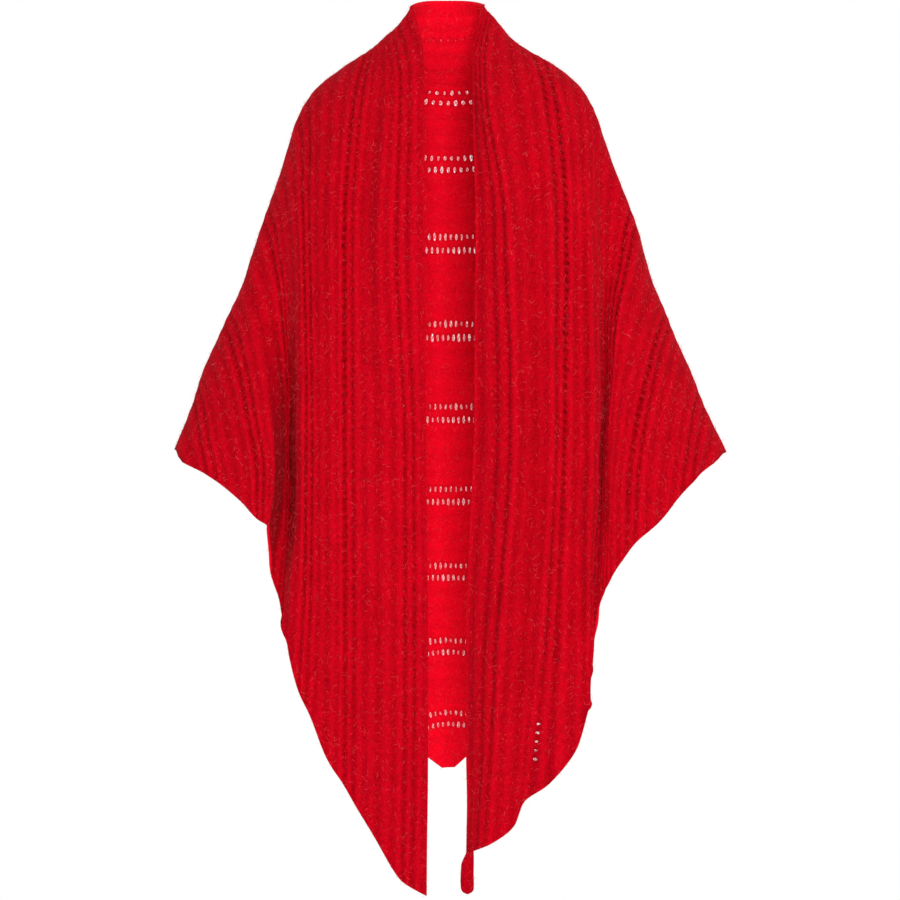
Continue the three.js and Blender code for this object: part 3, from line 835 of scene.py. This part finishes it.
def set_seam_normals(obj, columns, way, on_back):
    """Gives the points on a seam the cloth's own normal, so that shading runs on across it."""
    seam = np.zeros(len(way), bool)
    bands = [column["band"] for column in columns]
    for end, band in ((0, bands[0]), (-1, bands[-1])):
        if EDGE_BAND < band < (POINT_BAND if on_back else TIP_BAND):
            column = columns[end]
            start = first_point(column)
            seam[start : start + len(column["along"])] = True
    for column in columns:
        if column["band"] > TIP_BAND:
            continue
        start = first_point(column)
        if on_back:
            seam[[start, start + len(column["along"]) - 1]] = True
        else:
            seam[start] = True
    lean = np.zeros(len(way))
    over = np.zeros((len(way), 3))
    if bands[0] == EDGE_BAND:
        for column in columns:
            start = first_point(column)
            whole = slice(start, start + len(column["along"]))
            lean[whole] = np.clip(1 - (column["band"] - EDGE_BAND) * BAND_MM / RIM_TURN, 0, 1)
            over[whole] = column["over"]
    outer = unit(way * (1 - lean)[:, None] + over * lean[:, None])
    inner = unit(-way * (1 - lean)[:, None] + over * lean[:, None])
    kept_seam = np.concatenate([seam, seam])[:, None]
    both = np.where(kept_seam, np.concatenate([outer, inner]), 0.0)[KEPT[obj.name]]
    obj.data.normals_split_custom_set_from_vertices(both.tolist())


def node(tree, kind, **values):
    made = tree.nodes.new(kind)
    for key, value in values.items():
        if key in made.inputs:
            made.inputs[key].default_value = value
        else:
            setattr(made, key, value)
    return made


def new_material(name, roughness):
    """A material with nodes, and its tree and shader."""
    material = bpy.data.materials.new(name)
    material.use_nodes = True
    shader = material.node_tree.nodes["Principled BSDF"]
    shader.inputs["Roughness"].default_value = roughness
    return material, material.node_tree, shader


def mix_colours(tree, share, dark, pale, **values):
    """The shader's colour as a mix: dark where the share is 0 and pale where it is 1."""
    mix = node(tree, "ShaderNodeMix", data_type="RGBA", **values)
    mix.inputs[6].default_value = (*dark, 1)
    mix.inputs[7].default_value = (*pale, 1)
    tree.links.new(share, mix.inputs[0])
    tree.links.new(mix.outputs[2], tree.nodes["Principled BSDF"].inputs["Base Color"])


def hair_colours(tree, scale, dark, pale):
    """Colours that change softly from hair to hair."""
    place = node(tree, "ShaderNodeTexCoord")
    noise = node(tree, "ShaderNodeTexNoise", Scale=scale, Detail=1.0)
    tree.links.new(place.outputs["Object"], noise.inputs["Vector"])
    mix_colours(tree, noise.outputs["Fac"], dark, pale)


def add_share(tree, value, weight, total):
    """The total so far, with a value times its weight added."""
    made = node(tree, "ShaderNodeMath", operation="MULTIPLY_ADD")
    tree.links.new(value, made.inputs[0])
    made.inputs[1].default_value = weight
    made.inputs[2].default_value = 0.0
    if total:
        tree.links.new(total, made.inputs[2])
    return made.outputs[0]


def knit_material():
    """Red brushed knit: fine rows of stitches, a soft nap and a little mottling, with painted light and shade
    from the shade attribute.
    """
    material, tree, shader = new_material("red_brushed_knit", 0.95)
    link = tree.links.new
    shader.inputs["Specular IOR Level"].default_value = 0.03
    shader.inputs["Sheen Weight"].default_value = 0.08
    shader.inputs["Sheen Roughness"].default_value = 0.45
    shader.inputs["Sheen Tint"].default_value = (1.0, 0.08, 0.10, 1)
    place = node(tree, "ShaderNodeUVMap", uv_map="sheet")
    solid = node(tree, "ShaderNodeTexCoord")

    mottle = node(tree, "ShaderNodeTexNoise", Scale=26.0, Detail=3.0, Roughness=0.6)
    link(solid.outputs["Object"], mottle.inputs["Vector"])
    stretch = node(tree, "ShaderNodeMapping")
    stretch.inputs["Scale"].default_value = (520.0, 130.0, 1.0)
    link(place.outputs["UV"], stretch.inputs["Vector"])
    streaks = node(tree, "ShaderNodeTexNoise", Scale=1.0, Detail=2.0, Roughness=0.55)
    link(stretch.outputs["Vector"], streaks.inputs["Vector"])
    nap = node(tree, "ShaderNodeTexNoise", Scale=900.0, Detail=2.0, Roughness=0.7)
    link(solid.outputs["Object"], nap.inputs["Vector"])
    fluff = node(tree, "ShaderNodeTexVoronoi", Scale=420.0)
    link(solid.outputs["Object"], fluff.inputs["Vector"])

    tufts = node(tree, "ShaderNodeTexNoise", Scale=330.0, Detail=1.5, Roughness=0.5)
    link(solid.outputs["Object"], tufts.inputs["Vector"])

    # The shade attribute is painted light and shade: paler inner side, darker outer side, darker rib grooves,
    # paler rims
    ribs = node(tree, "ShaderNodeAttribute", attribute_name="shade")
    tone_and_painted_light = None
    for part, weight in ((mottle, 0.5), (streaks, 0.45), (nap, 0.35), (tufts, 1.1), (ribs, 0.9)):
        tone_and_painted_light = add_share(tree, part.outputs["Fac"], weight, tone_and_painted_light)
    lower = node(tree, "ShaderNodeMath", operation="SUBTRACT")
    link(tone_and_painted_light, lower.inputs[0])
    lower.inputs[1].default_value = PALENESS_BASE
    mix_colours(tree, lower.outputs[0], KNIT_DARK, KNIT_PALE, clamp_factor=False)

    normal = None
    for height, strength, distance in (
        (streaks.outputs["Fac"], 0.5, 0.0012),
        (fluff.outputs["Distance"], 0.5, 0.0008),
        (nap.outputs["Fac"], 0.45, 0.0006),
        (tufts.outputs["Fac"], 0.7, 0.0022),
    ):
        bump = node(tree, "ShaderNodeBump", Strength=strength, Distance=distance)
        link(height, bump.inputs["Height"])
        if normal:
            link(normal, bump.inputs["Normal"])
        normal = bump.outputs["Normal"]
    link(normal, shader.inputs["Normal"])
    return material


def fibre_material():
    """Loose fibres, a little paler than the cloth."""
    material, tree, shader = new_material("red_loose_fibres", 0.6)
    shader.inputs["Specular IOR Level"].default_value = 0.3
    hair_colours(tree, 60.0, (0.62, 0.004, 0.016), (0.85, 0.09, 0.10))
    return material


def painted_backlit_hair_material():
    """Single hairs against the light look pale pink: painted light, a colour paler than the yarn for the
    light that shines through them.
    """
    material, tree, _ = new_material("painted_backlit_hairs", 0.7)
    hair_colours(tree, 240.0, (1.00, 0.05, 0.08), (1.00, 0.25, 0.30))
    return material


def loose_fibres(name, cloths, count):
    """Short curved fibres that stand out of the cloth all over, as flat ribbons."""
    chance = np.random.default_rng(SEED + 2)
    starts, ways = [], []
    areas = []
    for cloth in cloths:
        mesh = cloth.data
        centres = np.empty(len(mesh.polygons) * 3)
        normals = np.empty(len(mesh.polygons) * 3)
        area = np.empty(len(mesh.polygons))
        mesh.polygons.foreach_get("center", centres)
        mesh.polygons.foreach_get("normal", normals)
        mesh.polygons.foreach_get("area", area)
        starts.append(centres.reshape(-1, 3))
        ways.append(normals.reshape(-1, 3))
        areas.append(area)
    starts, ways, areas = np.concatenate(starts), np.concatenate(ways), np.concatenate(areas)
    picks = chance.choice(len(areas), size=count, p=areas / areas.sum())
    start, way = starts[picks], ways[picks]
    loose = chance.normal(0, 1, (count, 3))
    lie = unit(loose - (loose * way).sum(axis=1, keepdims=True) * way)
    bend = unit(np.cross(way, lie)) * chance.normal(0, 0.5, (count, 1))
    length = chance.uniform(*FIBRE_LENGTH, (count, 1))
    lift = chance.uniform(0.1, 0.75, (count, 1))
    middle = start + lie * length * 0.5 + way * length * lift * 0.45
    tip = start + lie * length * 0.8 + bend * length * 0.6 + way * length * lift * 0.8
    broad = unit(np.cross(lie, chance.normal(0, 1, (count, 3)))) * FIBRE_HALF_WIDTH
    ribbons = np.stack([start - broad, start + broad, middle - broad, middle + broad, tip], axis=1)
    points = ribbons.reshape(-1, 3) / MM
    base = np.arange(count)[:, None] * 5
    quads = (base + np.array([0, 1, 3, 2])).tolist()
    tips = (base + np.array([2, 3, 4])).tolist()
    return mesh_object(name, points, [tuple(q) for q in quads + tips], np.zeros((len(points), 2)))


def eyelet_hairs(name, rings, count):
    """A few loose hairs across each eyelet, as flat ribbons."""
    chance = np.random.default_rng(SEED + 3)
    points = []
    for ring in rings:
        for _ in range(count):
            i = int(chance.integers(0, 8))
            k = (i + int(chance.integers(3, 6))) % 8
            a = ring[i] + (ring[(i + 1) % 8] - ring[i]) * chance.uniform(0, 1)
            b = ring[k] + (ring[(k + 1) % 8] - ring[k]) * chance.uniform(0, 1)
            side = np.cross(b - a, ring[2] - ring[6] + 0.3 * (ring[0] - ring[4]))
            side = np.cross(side, b - a)
            size = np.linalg.norm(side)
            if size < 1e-6:
                continue
            side = side / size * chance.uniform(*HAIR_HALF_WIDTH)
            points += [a - side, a + side, b - side, b + side]
    points = np.array(points)
    quads = (np.arange(len(points) // 4)[:, None] * 4 + np.array([0, 1, 3, 2])).tolist()
    return mesh_object(name, points, quads, points[:, [0, 2]])


def rolled_tail(name):
    """The long edge's narrow end, rolled on itself and twisted as it hangs."""
    levels, sides = 30, 28
    points, uvs = [], []
    for i in range(levels + 1):
        t = i / levels
        z = TAIL["top"] + (TAIL["bottom"] - TAIL["top"]) * t
        size = 0.5 + 0.47 * float(smoothstep(0.08, 0.42, t)) + 0.03 * math.sin(9 * t + 1)
        sway = TAIL["wide"] / 2 * (0.97 - size) * 0.9
        size *= math.sqrt(max(0.04, 1 - max(0.0, (t - 0.88) / 0.12) ** 2))
        turn = 0.55 * t - 0.2
        for j in range(sides):
            angle = 2 * math.pi * j / sides
            groove = 1 - 0.16 * math.exp(-((math.sin((angle - 1.9) / 2) / 0.2) ** 2))
            ribbed = 1 + 0.03 * math.sin(5 * angle + 9 * t)
            a = TAIL["wide"] / 2 * size * math.cos(angle) * groove * ribbed
            b = TAIL["thick"] / 2 * size * math.sin(angle) * groove * ribbed
            x = TAIL["x"] + sway + a * math.cos(turn) - b * math.sin(turn)
            y = TAIL["y"] + a * math.sin(turn) + b * math.cos(turn)
            points.append((x, y, z))
            uvs.append((j * 1.4, i * 2.0))
    faces = []
    for i in range(levels):
        for j in range(sides):
            a, b = i * sides + j, i * sides + (j + 1) % sides
            faces.append((a + sides, b + sides, b, a))
    faces.append(tuple(range(sides)))
    faces.append(tuple(levels * sides + j for j in reversed(range(sides))))
    return mesh_object(name, np.array(points), faces, np.array(uvs))


def back_rule(band, column, j):
    """How far each eyelet of the back is open."""
    return back_openness(band, abs(j) * BACK_STEP)


def front_rule(side):
    """How far each eyelet of a front is open. Below the back's hem, where light would show, few are."""
    hem_x = np.abs(BACK_HEM[side.name + "X"])
    hem_z = BACK_HEM[side.name + "Z"]

    def openness(band, column, j):
        x, _, z = column["middle"][j]
        opened = front_openness(side, band, j / column["last"])
        if z > float(np.interp(abs(x), hem_x[::-1], hem_z[::-1])) + BARE_MARGIN:
            return opened
        seen = side is RIGHT and band == PALE_ROW and PALE_FROM < z < PALE_TO
        return opened if seen else 0.0

    return openness


def make_cloak():
    knit = knit_material()
    fronts = (
        (LEFT, "left_front", EDGE_BAND, LEFT_SPLIT_BAND),
        (LEFT, "left_wing", LEFT_SPLIT_BAND, TIP_BAND),
        (RIGHT, "right_front", EDGE_BAND, RIGHT_SPLIT_BAND),
        (RIGHT, "right_wing", RIGHT_SPLIT_BAND, TIP_BAND),
    )
    backs = (
        ("back_upper", EDGE_BAND, BACK_SPLIT_BAND, ("neck_band", "back")),
        ("back_lower", BACK_SPLIT_BAND, POINT_BAND, ("back",)),
    )
    plan = [(name, back_columns(column_bands(*ends)), back_rule, True, nodes) for name, *ends, nodes in backs]
    for side, name, first, last in fronts:
        columns = front_columns(side, column_bands(first, last))
        plan.append((name + "_knit", columns, front_rule(side), False, (name,)))
    cloths = []
    for name, columns, rule, on_back, nodes in plan:
        obj, eyelets = closed_sheet(name, columns, rule, on_back)
        print(name, "faces", len(obj.data.polygons), "eyelets", eyelets)
        obj.data.materials.append(knit)
        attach(obj, "root")
        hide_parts(*nodes)
        cloths.append(obj)
    tail = rolled_tail("right_tail_knit")
    tail.data.materials.append(knit)
    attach(tail, "root")
    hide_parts("right_tail")
    for where, stuff in (("front", knit), ("back", painted_backlit_hair_material())):
        hairs = eyelet_hairs(where + "_eyelet_hairs", HOLES[where], HAIRS[where])
        hairs.data.materials.append(stuff)
        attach(hairs, "root")
    fibres = loose_fibres("loose_fibres", cloths + [tail], FIBRES)
    fibres.data.materials.append(fibre_material())
    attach(fibres, "root")


def make_world():
    """A pale studio: white behind the front view, a little greyer in front."""
    world = bpy.data.worlds.new("studio")
    bpy.context.scene.world = world
    world.use_nodes = True
    tree = world.node_tree
    place = node(tree, "ShaderNodeTexCoord")
    split = node(tree, "ShaderNodeSeparateXYZ")
    ramp = node(tree, "ShaderNodeValToRGB")
    half = node(tree, "ShaderNodeMath", operation="MULTIPLY_ADD")
    half.inputs[1].default_value = 0.5
    half.inputs[2].default_value = 0.5
    stops = ramp.color_ramp.elements
    stops[0].position = 0.0
    stops[0].color = (0.24, 0.24, 0.24, 1)
    stops[1].position = 1.0
    stops[1].color = (1.0, 1.0, 1.0, 1)
    for position, grey in ((0.30, 0.24), (0.62, 0.95)):
        stop = stops.new(position)
        stop.color = (grey, grey, grey, 1)
    link = tree.links.new
    link(place.outputs["Generated"], split.inputs[0])
    link(split.outputs["Y"], half.inputs[0])
    link(half.outputs[0], ramp.inputs["Fac"])
    below = node(tree, "ShaderNodeMapRange", interpolation_type="SMOOTHSTEP")
    below.inputs["From Min"].default_value = 0.06
    below.inputs["From Max"].default_value = -0.02
    link(split.outputs["Z"], below.inputs["Value"])
    mix = node(tree, "ShaderNodeMix", data_type="RGBA", blend_type="LIGHTEN")
    mix.inputs[7].default_value = (0.80, 0.80, 0.80, 1)
    link(below.outputs["Result"], mix.inputs[0])
    link(ramp.outputs["Color"], mix.inputs[6])
    link(mix.outputs[2], tree.nodes["Background"].inputs["Color"])
    tree.nodes["Background"].inputs["Strength"].default_value = 1.0


def make_floor():
    """A plain pale round floor where a wearer would stand."""
    sides = 96
    turns = [2 * math.pi * i / sides for i in range(sides)]
    rim = [(FLOOR_RADIUS * math.cos(turn), FLOOR_RADIUS * math.sin(turn), FLOOR_Z) for turn in turns]
    mesh = bpy.data.meshes.new("floor")
    mesh.from_pydata(rim, [], [tuple(range(sides))])
    floor = bpy.data.objects.new("floor", mesh)
    bpy.context.scene.collection.objects.link(floor)
    material, _, shader = new_material("pale_floor", 0.8)
    shader.inputs["Base Color"].default_value = (0.86, 0.86, 0.86, 1)
    mesh.materials.append(material)


def make_light(name, place, aim, size, power):
    data = bpy.data.lights.new(name, "AREA")
    data.shape = "SQUARE"
    data.size = size
    data.energy = power
    light = bpy.data.objects.new(name, data)
    light.location = place
    light.rotation_euler = (Vector(aim) - Vector(place)).to_track_quat("-Z", "Y").to_euler()
    bpy.context.scene.collection.objects.link(light)


def make_camera():
    data = bpy.data.cameras.new("front_camera")
    data.lens = LENS
    data.sensor_width = 36
    data.clip_end = 60
    camera = bpy.data.objects.new("front_camera", data)
    camera.location = CAMERA_PLACE
    camera.rotation_euler = (math.radians(90), 0, 0)
    bpy.context.scene.collection.objects.link(camera)
    bpy.context.scene.camera = camera


make_camera()
make_cloak()
make_world()
make_floor()
make_light("front_light", (0.40, -6.0, 0.8), (0, 0, -0.45), 1.6, 300)
make_light("side_light", (4.0, -3.0, 2.2), (0, 0, -0.5), 2.5, 35)
bpy.context.scene.view_settings.view_transform = "Standard"
